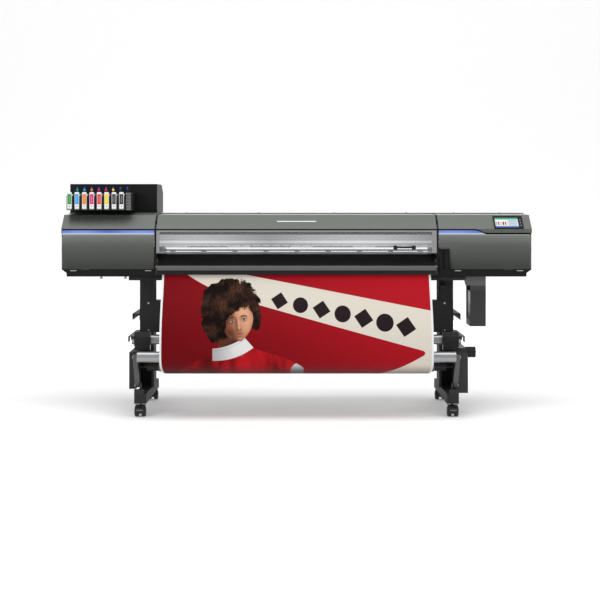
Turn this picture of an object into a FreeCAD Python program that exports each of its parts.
import FreeCAD, Part
import os

import Sketcher

# Wide-format printer cutter on a wheeled stand, with take-up unit and eight ink trays.
# Millimetres. X runs to the right as seen from the front, Y to the back, Z up.
# The origin is on the floor under the middle of the machine.

V = FreeCAD.Vector
TURN_TO_X = FreeCAD.Rotation(V(0, 1, 0), 90)
TURN_TO_Y = FreeCAD.Rotation(V(1, 0, 0), -90)
PLANE_AXES = {"YZ_Plane": "+", "XZ_Plane": "-", "XY_Plane": "+"}

SIZES = {
    # cabinet
    "half_width": 1430, "centre_half": 852, "rib": 12, "skin": 4,
    "front_y": -238, "back_y": 290, "tray_front_y": -225,
    "tray_low": 840, "tray_top": 881, "slope_low": 1130, "slope_top": 1215, "slope_top_y": -139,
    "deck_y": 40, "deck_z": 1226, "cover_low": 883, "cover_high": 1096.5, "cover_return": 18,
    "led_low": 1097, "led_high": 1122, "frame_y": -224, "cover_axis": 1089,
    "window_low": 982, "window_high": 1121, "window_thick": 6, "play": 0.5, "seat": 0.3,
    # print path
    "platen_z": 969, "platen_half": 843, "apron_top_y": -164, "apron_top_z": 974,
    "apron_low_y": -268, "apron_low_z": 907, "strip_low": 854.5, "strip_y": -280,
    "media_half": 813, "media_thick": 0.8, "grit_r": 12, "grit_y": 30, "pinch_r": 8,
    "lift_y": 75, "lift_z": 990, "shaft_play": 0.05,
    "rail_front": -10, "rail_back": 70, "rail_low": 1010, "rail_high": 1110,
    "side_frame": 1330, "side_frame_thick": 12,
    # stand
    "leg_in": 890.5, "leg_out": 978, "leg_front": -30, "leg_back": 110, "wall": 4,
    "plate_in": 829, "plate_out": 1030, "plate_front": -160, "plate_back": 240,
    "plate_low": 813, "plate_high": 834, "foot_in": 905, "foot_front": -302, "foot_back": 379,
    "foot_low": 78, "foot_high": 136, "beam_low": 481, "beam_high": 679, "beam_half": 978,
    # casters
    "caster_x": 943, "front_axle": -280, "front_stem": -262, "rear_axle": 363, "rear_stem": 345,
    "wheel_r": 31, "wheel_wide": 25, "wheel_gap": 17.5, "axle_r": 4, "stem_r": 6,
    # take-up and feed
    "core_y": -160, "core_z": 283, "core_r": 30, "wound_r": 41, "core_half": 843, "guide_y": -210,
    "guide_z": 456, "guide_r": 30.5, "guide_half": 1001, "dancer_y": -372, "dancer_z": 369,
    "dancer_r": 33, "dancer_half": 950, "pivot_y": -266, "pivot_z": 186, "pivot_r": 5,
    "arm_half": 14, "arm_wide": 26, "front_arm_low": 449, "front_arm_high": 485,
    "front_arm_out": 1014, "rear_arm_low": 558, "rear_arm_high": 597, "rear_arm_out": 1025,
    "feed_y": 330, "feed_z": 620, "feed_r": 75, "feed_flange": 100, "feed_shaft": 15,
    "feed_half": 1010,
    # ink rack and trays
    "rack_right": -881, "rack_front": 60, "rack_back": 410, "rack_high": 1408,
    "tray_first": -1385, "tray_pitch": 45.3, "tray_wide": 38, "bay_low": 1244.9,
    "bay_high": 1358, "bay_wide": 39, "label_y": -210, "label_low": 1252, "label_high": 1354,
    # waste bottle holder
    "holder_left": 1066, "holder_right": 1162, "holder_front": -160, "holder_back": 19,
    "holder_low": 531,
}

doc = FreeCAD.newDocument("printer_cutter")
sheet = doc.addObject("Spreadsheet::Sheet", "dim")
for row, (alias, value) in enumerate(SIZES.items(), start=1):
    sheet.set(f"A{row}", str(value))
    sheet.setAlias(f"A{row}", alias)
doc.recompute()

nodes = []


def bound(text):
    """Give an expression with each size name pointing at its cell."""
    words = []
    word = ""
    for char in str(text) + " ":
        if char.isalnum() or char in "_.":
            word += char
            continue
        words.append(f"dim.{word}" if word in SIZES else word)
        words.append(char)
        word = ""
    return "".join(words).strip()


def number(text):
    return float(sheet.evalExpression(bound(text)))


def name(kind, label):
    obj = doc.addObject(kind, label or "piece")
    if label:
        obj.Label = label
    return obj


def box(x, y, z, label=None):
    obj = name("Part::Box", label)
    for prop, span in (("Length", x), ("Width", y), ("Height", z)):
        obj.setExpression(prop, bound(f"({span[1]}) - ({span[0]})"))
    for axis, span in zip("xyz", (x, y, z)):
        obj.setExpression(f".Placement.Base.{axis}", bound(span[0]))
    return obj


def rod(axis, at, span, radius, label=None):
    """Cylinder along an axis; at gives the two other coordinates in X, Y, Z order."""
    obj = name("Part::Cylinder", label)
    if axis == "x":
        obj.Placement = FreeCAD.Placement(V(0, 0, 0), TURN_TO_X)
        place = (span[0], at[0], at[1])
    elif axis == "y":
        obj.Placement = FreeCAD.Placement(V(0, 0, 0), TURN_TO_Y)
        place = (at[0], span[0], at[1])
    else:
        place = (at[0], at[1], span[0])
    for letter, value in zip("xyz", place):
        obj.setExpression(f".Placement.Base.{letter}", bound(value))
    obj.setExpression("Radius", bound(radius))
    obj.setExpression("Height", bound(f"({span[1]}) - ({span[0]})"))
    return obj


def slab(plane, points, span, label=None):
    """Closed outline on a main plane, padded between two positions along its normal."""
    body = name("PartDesign::Body", label)
    origin = [item for item in body.Origin.OriginFeatures if item.Role == plane][0]
    sketch = body.newObject("Sketcher::SketchObject", "outline")
    sketch.AttachmentSupport = (origin, [""])
    sketch.MapMode = "FlatFace"
    near = span[0]
    if PLANE_AXES[plane] == "-":
        near = f"-({span[1]})"
    sketch.setExpression(".AttachmentOffset.Base.z", bound(near))
    corners = [(number(u), number(v)) for u, v in points]
    count = len(corners)
    for index in range(count):
        here = V(corners[index][0], corners[index][1], 0)
        there = corners[(index + 1) % count]
        sketch.addGeometry(Part.LineSegment(here, V(there[0], there[1], 0)))
    for index in range(count):
        sketch.addConstraint(Sketcher.Constraint("Coincident", index, 2, (index + 1) % count, 1))
    for index, point in enumerate(points):
        for kind, text, value in zip(("DistanceX", "DistanceY"), point, corners[index]):
            item = sketch.addConstraint(Sketcher.Constraint(kind, -1, 1, index, 1, value))
            sketch.setExpression(f"Constraints[{item}]", bound(text))
    pad = body.newObject("PartDesign::Pad", "pad")
    pad.Profile = sketch
    pad.setExpression("Length", bound(f"({span[1]}) - ({span[0]})"))
    sketch.Visibility = False
    return body


def fuse(label, *shapes):
    obj = name("Part::MultiFuse", label)
    obj.Shapes = list(shapes)
    obj.Refine = True
    return obj


def cut(label, base, *tools):
    for index, tool in enumerate(tools):
        last = index == len(tools) - 1
        obj = name("Part::Cut", label if last else None)
        obj.Base = base
        obj.Tool = tool
        base = obj
    return base


def group(label, *shapes):
    obj = name("Part::Compound", label)
    obj.Links = list(shapes)
    return obj


def mirror(source, label=None):
    obj = name("Part::Mirroring", label)
    obj.Source = source
    obj.Normal = V(1, 0, 0)
    obj.Base = V(0, 0, 0)
    return obj


def node(obj):
    nodes.append(obj)
    return obj


def tube(at, span, outer, inner, label=None):
    return cut(label, rod("x", at, span, outer), rod("x", at, span, inner))


# ---------------------------------------------------------------- stand
def leg(label, cable_hole):
    """Hollow column with an open lower front, welded to its top plate."""
    column = box(("leg_in", "leg_out"), ("leg_front", "leg_back"), ("foot_high", "plate_low"))
    hollow = box(("leg_in + wall", "leg_out - wall"), ("leg_front + wall", "leg_back - wall"),
                 ("foot_high + wall", "plate_low - wall"))
    mouth = box(("leg_in + 16", "leg_out - wall"), ("leg_front - 1", "leg_front + wall + 1"),
                ("foot_high + wall", "beam_low - wall"))
    step = box(("leg_in - 1", "leg_in + 16"), ("leg_front - 1", "leg_front + 2"),
               ("beam_high", "plate_low"))
    plate = box(("plate_in", "plate_out"), ("plate_front", "plate_back"),
                ("plate_low", "plate_high"))
    tools = [hollow, mouth, step]
    if cable_hole:
        tools.append(rod("z", ("912.5", "leg_front - 11"), ("plate_low - 1", "plate_high + 1"), "6"))
    return cut(label, fuse(None, column, plate), *tools)


def foot(label):
    """Floor beam with caster holes, the small end box and the dancer pivot."""
    beam = box(("foot_in", "leg_out"), ("foot_front", "foot_back"), ("foot_low", "foot_high"))
    hollow = box(("foot_in + wall", "leg_out - wall"), ("foot_front + wall", "foot_back - wall"),
                 ("foot_low + wall", "foot_high - wall"))
    end_box = box(("925", "leg_out"), ("foot_front", "foot_front + 22"),
                  ("foot_high", "foot_high + 28"))
    ear = box(("940", "dancer_half - 3"), ("pivot_y - 18", "pivot_y + 18"),
              ("foot_high", "pivot_z + 14"))
    pin = rod("x", ("pivot_y", "pivot_z"), ("940", "dancer_half + arm_wide + 3"), "pivot_r")
    holes = [rod("z", ("caster_x", stem), ("foot_low - 1", "foot_low + wall + 1"),
                 "stem_r + shaft_play") for stem in ("front_stem", "rear_stem")]
    bolt_hole = rod("x", ("foot_back - 60", "foot_low + 30"), ("foot_in - 1", "foot_in + 6"), "7")
    shell = cut(None, beam, hollow, bolt_hole, *holes)
    return fuse(label, shell, end_box, ear, pin)


node(leg("leg_right", True))
node(mirror(leg(None, False), "leg_left"))
foot_right = node(foot("foot_right"))
node(mirror(foot_right, "foot_left"))

beam_face = box(("-beam_half", "beam_half"), ("leg_front - 5", "leg_front"),
                ("beam_low", "beam_high"))
flanges = [box(("-leg_in", "leg_in"), ("leg_front - 5", "leg_front + 90"), span)
           for span in (("beam_low", "beam_low + wall"), ("beam_high - wall", "beam_high"))]
node(fuse("cross_beam", beam_face, *flanges))

bolts = []
for side in ("", "-"):
    for height in ("beam_low + 14", "beam_high - 16"):
        bolts.append(rod("y", (f"{side}924", height), ("leg_front - 8.5", "leg_front - 5"), "5.5"))
    for stem in ("front_stem", "rear_stem"):
        for reach in ("- 24", "+ 24"):
            bolts.append(rod("z", (f"{side}(caster_x {reach})", stem),
                             ("foot_low - 4", "foot_low"), "5"))
for spot in ("-1200", "-1052"):
    bolts.append(rod("z", (spot, "-150"), ("tray_low - 18", "tray_low"), "8"))
node(group("fasteners", *bolts))


# ---------------------------------------------------------------- casters
def caster(tag, side, axle, stem, out, braked):
    """Twin-wheel swivel caster; out is the sign from stem to axle along Y."""
    middle = f"{side}caster_x"
    reach = f"{axle} {out} 20"
    rear = f"{stem} - ({out}12)"
    low, high = (reach, rear) if out == "-" else (rear, reach)
    web = box((f"{middle} - 7", f"{middle} + 7"), (low, high), ("18", "wheel_r * 2 + 4"))
    hood = box((f"{middle} - 30", f"{middle} + 30"), (low, high),
               ("wheel_r * 2 + 1", "wheel_r * 2 + 5"))
    pin = rod("z", (middle, stem), ("wheel_r * 2 + 2", "foot_low + 24"), "stem_r")
    parts = [web, hood, pin]
    pedal_y = f"{axle} - 38"
    if braked:
        parts.append(box((f"{middle} - 26", f"{middle} + 26"), (f"{axle} - 44", f"{axle} - 20"),
                         ("wheel_r * 2 + 1", "wheel_r * 2 + 5")))
        for near in ("- 26", "+ 21"):
            parts.append(box((f"{middle} {near}", f"{middle} {near} + 5"),
                             (f"{axle} - 44", f"{axle} - 33"), ("48", "wheel_r * 2 + 2")))
    bores = [rod("x", (axle, "wheel_r"), (f"{middle} - 10", f"{middle} + 10"),
                 "axle_r + shaft_play")]
    if braked:
        bores.append(rod("x", (pedal_y, "54"), (f"{middle} - 30", f"{middle} + 30"),
                         "3 + shaft_play"))
    node(cut(f"caster_fork_{tag}", fuse(None, *parts), *bores))
    outer = "wheel_gap / 2 + wheel_wide"
    tyres = [rod("x", (axle, "wheel_r"), (f"{middle} - ({outer})", f"{middle} - wheel_gap / 2"),
                 "wheel_r"),
             rod("x", (axle, "wheel_r"), (f"{middle} + wheel_gap / 2", f"{middle} + {outer}"),
                 "wheel_r")]
    shaft = rod("x", (axle, "wheel_r"), (f"{middle} - 12", f"{middle} + 12"), "axle_r")
    node(fuse(f"caster_wheels_{tag}", *tyres, shaft))
    if braked:
        outline = [(f"{axle} - 45", "27"), (f"{axle} - 37", "27"), (f"{axle} - 34", "50"),
                   (f"{axle} - 34", "58"), (f"{axle} - 42", "58"), (f"{axle} - 42", "44")]
        pad = slab("YZ_Plane", outline, (f"{middle} - 20", f"{middle} + 20"))
        pins = rod("x", (pedal_y, "54"), (f"{middle} - 26", f"{middle} + 26"), "3")
        node(fuse(f"caster_brake_{tag}", pad, pins))


caster("front_left", "-", "front_axle", "front_stem", "-", True)
caster("front_right", "", "front_axle", "front_stem", "-", True)
caster("rear_left", "-", "rear_axle", "rear_stem", "+", False)
caster("rear_right", "", "rear_axle", "rear_stem", "+", False)

# ---------------------------------------------------------------- base tray
tray = slab("XZ_Plane", [("-half_width + 31", "tray_low"), ("half_width - 31", "tray_low"),
                         ("half_width - 30", "tray_top - 19"), ("half_width - 4", "tray_top"),
                         ("-half_width + 4", "tray_top"), ("-half_width + 30", "tray_top - 19")],
            ("tray_front_y", "back_y"))
pan = box(("-half_width + 50", "half_width - 50"), ("tray_front_y + 8", "back_y - 8"),
          ("tray_low + 6", "tray_top + 1"))
pads = [box(span, ("plate_front + 10", "plate_back - 10"), ("plate_high", "tray_low"))
        for span in (("-plate_out + 8", "-plate_in - 8"), ("plate_in + 8", "plate_out - 8"))]
catches = [box((spot, f"{spot} + 38"), ("tray_front_y - 3", "tray_front_y + 4"),
               ("tray_top - 8", "tray_top"))
           for spot in ("-1377", "-921", "963", "1341")]
pillar = box(("868", "926"), ("front_y + 3", "front_y + 40"), ("tray_top - 20", "1006"))
slot = box(("886", "900"), ("front_y", "front_y + 15"), ("tray_top + 8", "998"))
tray_shell = fuse(None, cut(None, tray, pan), *pads, *catches, pillar)
node(cut("base_tray", tray_shell, slot))


# ---------------------------------------------------------------- cabinet skins
slope_in = "front_y + skin * 1.47"
skin_outline = [
    ("front_y", "slope_low"), ("slope_top_y", "slope_top"), ("deck_y - 10", "deck_z - 7"),
    ("deck_y", "deck_z"), ("back_y", "deck_z"), ("back_y", "skin_foot"),
    ("back_y - skin", "skin_foot"), ("back_y - skin", "deck_z - skin"),
    ("deck_y + 2", "deck_z - skin"), ("deck_y - 8", "deck_z - 7 - skin"),
    ("slope_top_y + 1.6", "slope_top - skin"), (slope_in, "slope_low"),
]


def skin_strip(span, low, label=None):
    outline = [(u, low if v == "skin_foot" else v) for u, v in skin_outline]
    return slab("YZ_Plane", outline, span, label)


def end_wall(span):
    outline = [("front_y + 18.5", "tray_top"), ("front_y + 18.5", "led_low"),
               ("frame_y", "led_low"), ("frame_y", "slope_low"), ("front_y", "slope_low"),
               ("slope_top_y", "slope_top"), ("deck_y - 10", "deck_z - 7"), ("deck_y", "deck_z"),
               ("back_y", "deck_z"), ("back_y", "tray_top")]
    return slab("YZ_Plane", outline, span)


shell_span = ("centre_half + rib", "half_width")
wall_span = ("half_width - skin", "half_width")
left_source = fuse(None, skin_strip(shell_span, "tray_top"), end_wall(wall_span))
node(mirror(left_source, "end_shell_left"))
skirt = slab("XZ_Plane", [("1085", "slope_low"), ("1101", "slope_low - 3"), ("1121", "1119"),
                          ("1138", "1111"), ("1158", "1107"), ("half_width", "1107"),
                          ("half_width", "slope_low")], ("front_y", "front_y + skin"))
node(fuse("end_shell_right", skin_strip(shell_span, "tray_top"), end_wall(wall_span), skirt))
node(skin_strip(("-centre_half", "centre_half"), "1000", "centre_cover"))


def side_cover(low, label=None):
    """Front cover at one end: a folded panel with end returns and a lower lip."""
    inner = "centre_half + rib + 1"
    back = "front_y + cover_return"
    outline = [("half_width", back), ("half_width", "front_y + 10"),
               ("half_width - 10", "front_y"), (inner, "front_y"), (inner, back),
               (f"{inner} + skin", back), (f"{inner} + skin", "front_y + skin"),
               ("half_width - 12", "front_y + skin"), ("half_width - skin", "front_y + 12"),
               ("half_width - skin", back)]
    panel = slab("XY_Plane", outline, (low, "cover_high"))
    trim = box(("centre_half", "half_width + 1"), ("front_y + skin", "front_y + 20"),
               ("cover_axis", "cover_high + 1"))
    lip = box((f"{inner} + 1", "half_width - 11"), ("front_y + skin - 1", back),
              (low, f"{low} + skin"))
    return fuse(label, cut(None, panel, trim), lip)


node(mirror(side_cover("cover_low"), "side_cover_left"))
notch = box(("centre_half", "928"), ("front_y - 1", "front_y + 20"), ("tray_top", "1008"))
node(cut("side_cover_right", side_cover("cover_low"), notch))

led_left = box(("-half_width", "-centre_half - rib - 1"), ("front_y", "frame_y"),
               ("led_low", "led_high"))
led_right = slab("XZ_Plane", [("centre_half + rib + 1", "led_low"), ("1152", "led_low"),
                              ("1140", "1102"), ("1122", "1111"), ("1106", "1117"),
                              ("1086", "led_high"), ("centre_half + rib + 1", "led_high")],
                 ("front_y", "frame_y"))
node(group("led_strips", led_left, led_right))

# The frame behind the seams: one long rail and two portal ribs that the carriage passes.
rail_bar = box(("-half_width + skin", "half_width - skin"), ("frame_y", "frame_y + 19"),
               ("led_low - 2", "slope_low + 5"))
rib_outline = [("front_y + 2", "tray_top"), ("front_y + 2", "slope_low"),
               ("slope_top_y + 2", "slope_top - 2"), ("deck_y - 10", "deck_z - 9"),
               ("deck_y", "deck_z - 2"), ("back_y - 2", "deck_z - 2"), ("back_y - 2", "tray_top")]
ribs = []
for span in (("-centre_half - rib", "-centre_half"), ("centre_half", "centre_half + rib")):
    rib = slab("YZ_Plane", rib_outline, span)
    passage = box((f"{span[0]} - 1", f"{span[1]} + 1"), ("-200", "100"), ("940", "1180"))
    ribs.append(cut(None, rib, passage))
node(fuse("cover_frame", rail_bar, *ribs))

# ---------------------------------------------------------------- swing-up window
glass_x = ("-833", "823")
glass_z = ("window_low + 10", "window_high - 9")
window_y = ("front_y", "front_y + window_thick")
window_half = "centre_half - play"
pane = box((f"-({window_half})", window_half), window_y, ("window_low", "window_high"))
opening = box(glass_x, ("front_y - 1", "front_y + window_thick + 1"), glass_z)
lugs = [slab("YZ_Plane", [("front_y + 1", "1008"), ("front_y + 1", "1028"),
                          ("front_y - 16", "1023"), ("front_y - 16", "1013")], span)
        for span in (("588", "612"), ("700", "724"))]
grip = box(("588", "724"), ("front_y - 20", "front_y - 12"), ("1013", "1023"))
node(group("window_frame", cut(None, pane, opening), fuse(None, *lugs, grip)))
node(box(glass_x, ("front_y + 1", "front_y + window_thick - 1"), glass_z, "window_glass"))

# ---------------------------------------------------------------- apron and lower front
slope_plate = slab("YZ_Plane", [("apron_top_y", "apron_top_z"), ("apron_low_y", "apron_low_z"),
                                ("apron_low_y", "apron_low_z - 6"),
                                ("apron_top_y", "apron_top_z - 5")],
                   ("-platen_half", "platen_half"))
cheek = [("apron_top_y", "apron_top_z"), ("apron_low_y", "apron_low_z"),
         ("strip_y + 4", "apron_low_z - 8"),
         ("strip_y + 4", "strip_low + 3"), ("tray_front_y - 4", "strip_low + 3"),
         ("tray_front_y - 4", "940"), ("apron_top_y", "960")]
cheeks = [slab("YZ_Plane", cheek, span) for span in (("-centre_half", "-platen_half"),
                                                    ("platen_half", "centre_half"))]
node(fuse("apron_cover", slope_plate, *cheeks))
lip_outline = [("strip_y", "strip_low"), ("strip_y", "apron_low_z - 5"),
               ("strip_y + 3", "apron_low_z"), ("apron_low_y", "apron_low_z"),
               ("apron_low_y", "apron_low_z - 22"), ("strip_y + 6", "apron_low_z - 28"),
               ("strip_y + 6", "strip_low")]
node(slab("YZ_Plane", lip_outline, ("-platen_half", "platen_half"), "apron_lip"))

# ---------------------------------------------------------------- platen, rail and carriage
bed = slab("YZ_Plane", [("back_y - 6", "platen_z"), ("-140", "platen_z"), ("-254", "887"),
                        ("-254", "852"), ("-248", "852"), ("-248", "884"),
                        ("-137", "platen_z - 6"), ("back_y - 8", "platen_z - 6"),
                        ("back_y + 16", "platen_z - 26"), ("back_y + 16", "platen_z - 32"),
                        ("back_y + 22", "platen_z - 32"), ("back_y + 22", "platen_z - 20")],
           ("-platen_half + 8", "platen_half - 8"))
roller_slot = box(("-media_half - 6", "media_half + 6"), ("grit_y - 15", "grit_y + 15"),
                  ("platen_z - 8", "platen_z + 1"))
stands = [box(span, ("-130", "back_y - 12"), ("tray_low + 6", "platen_z - 6"))
          for span in (("-platen_half + 8", "-platen_half + 14"),
                       ("platen_half - 14", "platen_half - 8"))]
shaft_holes = rod("x", ("grit_y", "platen_z - grit_r"), ("-platen_half", "platen_half"), "8")
node(cut("platen", fuse(None, cut(None, bed, roller_slot), *stands), shaft_holes))

rail = box(("-side_frame", "side_frame"), ("rail_front", "rail_back"), ("rail_low", "rail_high"))
frames = [box(span, ("-60", "180"), ("tray_low + 6", "rail_high"))
          for span in (("-side_frame - side_frame_thick", "-side_frame"),
                       ("side_frame", "side_frame + side_frame_thick"))]
rail_end = "side_frame + side_frame_thick + 1"
frame_bores = [rod("x", ("grit_y", "platen_z - grit_r"), (f"-({rail_end})", rail_end),
                   "6 + shaft_play"),
               rod("x", ("lift_y", "lift_z"), (f"-({rail_end})", rail_end), "5 + shaft_play")]
node(cut("main_rail", fuse(None, rail, *frames), *frame_bores))

shaft_end = "side_frame + side_frame_thick"
grit_z = "platen_z - grit_r"
node(fuse("grit_roller",
          rod("x", ("grit_y", grit_z), ("-media_half - 2", "media_half + 2"), "grit_r"),
          rod("x", ("grit_y", grit_z), (f"-({shaft_end})", shaft_end), "6")))

pinch_z = "platen_z + seat * 2 + media_thick + pinch_r"
spots = [-784, -588, -392, -196, 0, 196, 392, 588, 784]
wheel_set = [rod("x", ("grit_y", pinch_z), (str(spot - 12), str(spot + 12)), "pinch_r")
             for spot in spots]
wheel_set.append(rod("x", ("grit_y", pinch_z), ("-800", "800"), "3"))
node(fuse("pinch_wheels", *wheel_set))
arm_bodies = [rod("x", ("lift_y", "lift_z"), (f"-({shaft_end})", shaft_end), "5")]
for spot in spots:
    arm = slab("YZ_Plane", [("grit_y - 6", f"{pinch_z} + 5"), ("grit_y - 6", f"{pinch_z} - 5"),
                            ("grit_y + 6", f"{pinch_z} - 5"), ("lift_y + 6", "lift_z - 4"),
                            ("lift_y + 6", "lift_z + 4"), ("lift_y - 6", "lift_z + 4")],
               (str(spot + 13 if spot < 784 else spot - 20), str(spot + 20 if spot < 784 else spot - 13)))
    arm_bodies.append(arm)
axle_hole = rod("x", ("grit_y", pinch_z), ("-820", "820"), "3 + shaft_play")
node(cut("pinch_arms", fuse(None, *arm_bodies), axle_hole))
lever = slab("YZ_Plane", [("-156", "973"), ("-156", "982"), ("lift_y - 10", "984"),
                          ("lift_y - 10", "lift_z + 10"), ("lift_y + 10", "lift_z + 10"),
                          ("lift_y + 10", "978"), ("lift_y - 8", "973")], ("-834", "-822"))
node(cut("loading_lever", lever,
         rod("x", ("lift_y", "lift_z"), ("-835", "-821"), "5 + shaft_play")))

block = box(("1010", "1250"), ("-150", "rail_front - seat"), ("rail_low - 18", "rail_high - 15"))
heads = [box((spot, f"{spot} + 50"), ("-130", "-40"), ("rail_low - 27", "rail_low - 18"))
         for spot in ("1035", "1105", "1175")]
ledge = box(("1020", "1240"), ("-90", "rail_back - 30"), ("rail_high + seat", "rail_high + 10"))
neck = box(("1020", "1240"), ("-90", "rail_front - seat"), ("rail_high - 15", "rail_high + 10"))
node(fuse("print_carriage", block, *heads, ledge, neck))
holder = box(("1250.3", "1296"), ("-140", "-40"), ("rail_low - 5", "rail_high - 25"))
blade = rod("z", ("1273", "-95"), ("rail_low - 25", "rail_low - 4"), "6")
node(fuse("cut_head", holder, blade))
station = box(("1040", "1230"), ("-140", "-30"), ("tray_low + 6", "968"))
caps = [box((spot, f"{spot} + 40"), ("-126", "-44"), ("967", "976"))
        for spot in ("1040", "1110", "1180")]
node(fuse("capping_station", station, *caps))

# ---------------------------------------------------------------- touch screen on the slope
run_y = "(slope_top_y - front_y)"
run_z = "(slope_top - slope_low)"
screen = [(f"front_y + {run_y} * 0.02", f"slope_low + {run_z} * 0.02"),
          (f"front_y + {run_y} * 0.02 - 6", f"slope_low + {run_z} * 0.02 + 2"),
          (f"front_y + {run_y} * 0.05 - 7", f"slope_low + {run_z} * 0.05 + 5"),
          (f"front_y + {run_y} * 0.85 - 5", f"slope_low + {run_z} * 0.85 + 7"),
          (f"front_y + {run_y} * 0.88", f"slope_low + {run_z} * 0.88")]
node(slab("YZ_Plane", screen, ("1203", "1381"), "touch_screen"))

# ---------------------------------------------------------------- ink rack and trays
rack = slab("YZ_Plane", [("rack_front", "deck_z"), ("rack_front", "rack_high"),
                         ("rack_back - 85", "rack_high"), ("rack_back", "rack_high - 52"),
                         ("rack_back", "deck_z")], ("-half_width", "rack_right"))
bays = []
for index in range(8):
    middle = f"(tray_first + tray_pitch * {index})"
    bays.append(box((f"{middle} - bay_wide / 2", f"{middle} + bay_wide / 2"),
                    ("rack_front - 1", "rack_back - 25"), ("bay_low", "bay_high")))
fin = box(("tray_first + tray_pitch * 7.5 + 2", "tray_first + tray_pitch * 7.5 + 32"),
          ("label_y + 20", "rack_front"), ("deck_z + 14", "bay_high - 3"))
node(fuse("ink_rack", cut(None, rack, *bays), fin))
for index in range(8):
    middle = f"(tray_first + tray_pitch * {index})"
    left = f"{middle} - tray_wide / 2"
    right = f"{middle} + tray_wide / 2"
    floor = box((left, right), ("label_y + 6", "rack_back - 30"), ("bay_low + 0.1", "bay_low + 3"))
    cheeks = [box((near, f"{near} + 2"), ("label_y + 6", "rack_back - 30"),
                  ("bay_low + 0.1", "bay_high - 12")) for near in (left, f"{right} - 2")]
    label = box((f"{middle} - 14", f"{middle} + 14"), ("label_y", "label_y + 8"),
                ("label_low", "label_high"))
    toe = box((f"{middle} - 14", f"{middle} + 14"), ("label_y + 2", "label_y + 12"),
              ("bay_low + 0.1", "label_low"))
    pouch = slab("YZ_Plane", [("label_y + 12", "bay_low + 4"), ("label_y + 12", "bay_high - 24"),
                              ("label_y + 40", "bay_high - 8"),
                              ("rack_back - 110", "bay_high - 8"),
                              ("rack_back - 60", "bay_low + 30"), ("rack_back - 60", "bay_low + 4")],
                 (f"{middle} - 13", f"{middle} + 13"))
    node(group(f"ink_tray_{index + 1}", fuse(None, floor, *cheeks, toe, label), pouch))

# ---------------------------------------------------------------- waste bottle under the right end
plates = [
    box(("holder_left", "holder_right"), ("holder_front", "holder_front + 3"),
        ("holder_low", "tray_low")),
    box(("holder_right - 3", "holder_right"), ("holder_front", "holder_back"),
        ("holder_low", "tray_low")),
    box(("holder_left", "holder_right"), ("holder_back - 3", "holder_back"),
        ("holder_low", "tray_low")),
    box(("holder_left", "holder_right"), ("holder_front", "holder_back"),
        ("holder_low", "holder_low + 3")),
    slab("YZ_Plane", [("holder_front", "holder_low"), ("holder_back", "holder_low"),
                      ("holder_back", "holder_low + 40"), ("holder_front + 50", "holder_low + 56"),
                      ("holder_front", "holder_low + 56")], ("holder_left", "holder_left + 3")),
    slab("YZ_Plane", [("holder_front", "tray_low"), ("holder_front", "tray_low - 57"),
                      ("holder_front + 30", "tray_low - 57"), ("holder_back - 60", "tray_low - 12"),
                      ("holder_back", "tray_low - 12"), ("holder_back", "tray_low")],
         ("holder_left - 26", "holder_left + 3")),
]
bracket_room = box(("holder_left - 23", "holder_left"), ("holder_front + 3", "holder_back - 3"),
                   ("tray_low - 70", "tray_low - 15"))
node(cut("bottle_holder", fuse(None, *plates), bracket_room))
flask = box(("holder_left + 6", "holder_right - 8"), ("holder_front + 10", "holder_back - 10"),
            ("holder_low + 3.3", "holder_low + 220"))
spout = rod("z", ("(holder_left + holder_right) / 2", "(holder_front + holder_back) / 2"),
            ("holder_low + 219", "holder_low + 248"), "22")
node(fuse("waste_bottle", flask, spout))

# ---------------------------------------------------------------- front arms and take-up
arm_box = box(("leg_out", "front_arm_out"), ("foot_front", "80"),
              ("front_arm_low", "front_arm_high"))
arm_room = box(("leg_out + 3", "front_arm_out - 3"), ("foot_front - 1", "77"),
               ("front_arm_low - 1", "front_arm_high - 3"))
arm_mouth = box(("leg_out - 1", "leg_out + 4"), ("foot_front - 1", "leg_front - 4"),
                ("front_arm_low - 1", "front_arm_high - 3"))
bearing = box(("leg_out", "leg_out + 7"), ("guide_y - 40", "guide_y + 40"),
              ("guide_z - 38", "guide_z + 38"))
guide_bore = rod("x", ("guide_y", "guide_z"), ("leg_out - 1", "front_arm_out + 1"),
                 "guide_r + shaft_play")
top_hole = rod("z", ("leg_out + 20", "foot_front + 24"), ("front_arm_high - 12", "front_arm_high + 1"),
               "8")
front_arm = cut(None, fuse(None, cut(None, arm_box, arm_room, arm_mouth), bearing), guide_bore,
                top_hole)
bracket = slab("YZ_Plane", [("guide_y - 72", "398"), ("guide_y - 34", "398"),
                            ("guide_y - 34", "507"), ("guide_y - 56", "507"),
                            ("guide_y - 72", "480")], ("885", "leg_out"))
rod_edge = rod("x", ("guide_y - 75", "450"), ("889", "leg_out"), "4")
bracket_full = fuse(None, bracket, rod_edge)
node(group("takeup_arms", front_arm, mirror(front_arm), bracket_full, mirror(bracket_full)))
node(tube(("guide_y", "guide_z"), ("-guide_half", "guide_half"), "guide_r", "guide_r - 3",
          "guide_tube"))

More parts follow.
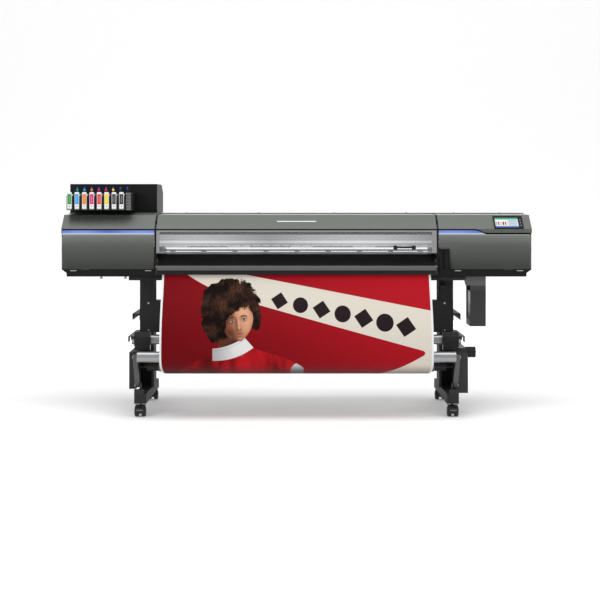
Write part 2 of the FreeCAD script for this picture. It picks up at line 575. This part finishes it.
length = "sqrt((dancer_y - pivot_y) ^ 2 + (dancer_z - pivot_z) ^ 2)"
side_y = f"arm_half * (dancer_z - pivot_z) / {length}"
side_z = f"arm_half * (dancer_y - pivot_y) / {length}"
over_y = f"20 * (dancer_y - pivot_y) / {length}"
over_z = f"20 * (dancer_z - pivot_z) / {length}"
swing = slab("YZ_Plane", [(f"pivot_y - {over_y} + {side_y}", f"pivot_z - {over_z} - {side_z}"),
                          (f"dancer_y + {over_y} + {side_y}", f"dancer_z + {over_z} - {side_z}"),
                          (f"dancer_y + {over_y} - {side_y}", f"dancer_z + {over_z} + {side_z}"),
                          (f"pivot_y - {over_y} - {side_y}", f"pivot_z - {over_z} + {side_z}")],
             ("dancer_half", "dancer_half + arm_wide"))
swing_arm = cut(None, swing, rod("x", ("pivot_y", "pivot_z"),
                                 ("dancer_half - 1", "dancer_half + arm_wide + 1"),
                                 "pivot_r + shaft_play"))
bar = tube(("dancer_y", "dancer_z"), ("-dancer_half", "dancer_half"), "dancer_r", "dancer_r - 3")
node(group("dancer", bar, swing_arm, mirror(swing_arm)))

node(tube(("core_y", "core_z"), ("-core_half", "core_half"), "core_r", "core_r - 5",
          "takeup_core"))
node(tube(("core_y", "core_z"), ("-media_half", "media_half"), "wound_r", "core_r + shaft_play",
          "wound_print"))
plug_in = rod("x", ("core_y", "core_z"), ("core_half - 60", "core_half"), "core_r - 5")
plug_out = rod("x", ("core_y", "core_z"), ("core_half", "917"), "26")
plug_tip = rod("x", ("core_y", "core_z"), ("917", "leg_out + 22"), "8")
plug = fuse(None, plug_in, plug_out, plug_tip)
node(group("takeup_flanges", plug, mirror(plug)))

tip_bore = rod("x", ("core_y", "core_z"), ("leg_out - 1", "leg_out + 23"), "8 + shaft_play")
idle = box(("leg_out", "1020"), ("-215", "60"), ("155", "378"))
node(mirror(cut(None, idle, tip_bore), "idle_housing"))
motor_box = slab("YZ_Plane", [("-215", "130"), ("60", "130"), ("60", "396"), ("-150", "396"),
                              ("-190", "376"), ("-215", "336")], ("leg_out", "1045"))
drum = rod("x", ("-140", "371"), ("1040", "1099"), "33.5")
node(cut("takeup_drive", fuse(None, motor_box, drum), tip_bore))

# ---------------------------------------------------------------- feed side
rear_box = box(("leg_out", "rear_arm_out"), ("leg_front", "feed_y + 38"),
               ("rear_arm_low", "rear_arm_high"))
rear_room = box(("leg_out + 3", "rear_arm_out - 3"), ("leg_front - 1", "feed_y - 40"),
                ("rear_arm_low - 1", "rear_arm_high - 3"))
cradle = box(("leg_out + 6", "rear_arm_out - 8"), ("feed_y - 30", "feed_y + 30"),
             ("rear_arm_high", "feed_z + 8"))
shaft_bed = rod("x", ("feed_y", "feed_z"), ("leg_out", "rear_arm_out"), "feed_shaft + shaft_play")
shaft_way = box(("leg_out", "rear_arm_out"),
                ("feed_y - feed_shaft - shaft_play", "feed_y + feed_shaft + shaft_play"),
                ("feed_z", "feed_z + 20"))
rear_arm = cut(None, fuse(None, rear_box, cradle), rear_room, shaft_bed, shaft_way)
node(group("feed_arms", rear_arm, mirror(rear_arm)))
wound = tube(("feed_y", "feed_z"), ("-media_half", "media_half"), "feed_r", "38")
spindle = rod("x", ("feed_y", "feed_z"), ("-feed_half", "feed_half"), "feed_shaft")
hubs = [rod("x", ("feed_y", "feed_z"), span, "feed_flange")
        for span in (("-media_half - 13", "-media_half - 1"), ("media_half + 1", "media_half + 13"))]
plugs = [rod("x", ("feed_y", "feed_z"), span, "38")
         for span in (("-media_half - 34", "-media_half + 70"), ("media_half - 70", "media_half + 34"))]
node(group("feed_roll", wound, fuse(None, spindle, *hubs, *plugs)))

# ---------------------------------------------------------------- printed media
size = {alias: float(sheet.get(alias)) for alias in SIZES}
gap = size["seat"] + size["media_thick"] / 2
bed_z = size["platen_z"] + gap
roll_r = size["feed_r"] + gap
turn_r = (size["wound_r"] + gap) * 1.009
path = []
for step in range(6):
    spoke = FreeCAD.Rotation(V(1, 0, 0), 3.22 * step).multVec(V(0, roll_r, 0))
    path.append(V(0, size["feed_y"] + spoke.y, size["feed_z"] + spoke.z))
path += [V(0, size["back_y"] + 24, size["platen_z"] - 22), V(0, size["back_y"] + 23.5, size["platen_z"] - 19.5)]
path += [V(0, size["back_y"] + 18, size["platen_z"] - 12), V(0, size["back_y"] + 8, size["platen_z"] - 4)]
path += [V(0, size["back_y"] - 6, bed_z), V(0, -140, bed_z), V(0, -150, bed_z - 4)]
path += [V(0, -254.6, 888.4), V(0, -262, 878), V(0, -266, 850)]
path += [V(0, -300, 770), V(0, -345, 690), V(0, -388, 600), V(0, -415, 520), V(0, -429.6, 430)]
path += [V(0, -429.6, 385), V(0, -425, 352), V(0, -411, 328), V(0, -385, 308), V(0, -340, 287)]
path += [V(0, -290, 270), V(0, -240, 256.5)]
for step in range(16):
    spoke = FreeCAD.Rotation(V(1, 0, 0), -12 + 15 * step).multVec(V(0, 0, -turn_r))
    path.append(V(0, size["core_y"] + spoke.y, size["core_z"] + spoke.z))
sides = ([], [])
for index, point in enumerate(path):
    before = path[max(index - 1, 0)]
    after = path[min(index + 1, len(path) - 1)]
    along = (after - before).normalize()
    across = V(0, -along.z, along.y) * (size["media_thick"] / 2)
    sides[0].append(point + across)
    sides[1].append(point - across)
rim = sides[0] + sides[1][::-1]
rim.append(rim[0])
face = Part.Face(Part.makePolygon(rim))
media = doc.addObject("Part::Feature", "media_sheet")
media.Label = "media_sheet"
media.Shape = face.extrude(V(2 * size["media_half"], 0, 0))
media.Placement = FreeCAD.Placement(V(-size["media_half"], 0, 0), FreeCAD.Rotation())
node(media)

# ---------------------------------------------------------------- small box on the right column
case = box(("894", "933"), ("leg_front - 22", "leg_front"), ("739", "776"))
lead = rod("z", ("912.5", "leg_front - 11"), ("776", "plate_high"), "2.5")
node(group("column_box", case, lead))

# ---------------------------------------------------------------- checks and export
doc.recompute()
for item in doc.Objects:
    if "Invalid" in item.State or "Error" in item.State:
        raise RuntimeError(f"{item.Name} failed to build")
os.makedirs("parts", exist_ok=True)
for item in nodes:
    if item.Shape.isNull() or not item.Shape.isValid():
        raise RuntimeError(f"{item.Label} has no valid shape")
    item.Shape.exportStep(f"parts/{item.Label}.step")
print(len(nodes), "nodes")
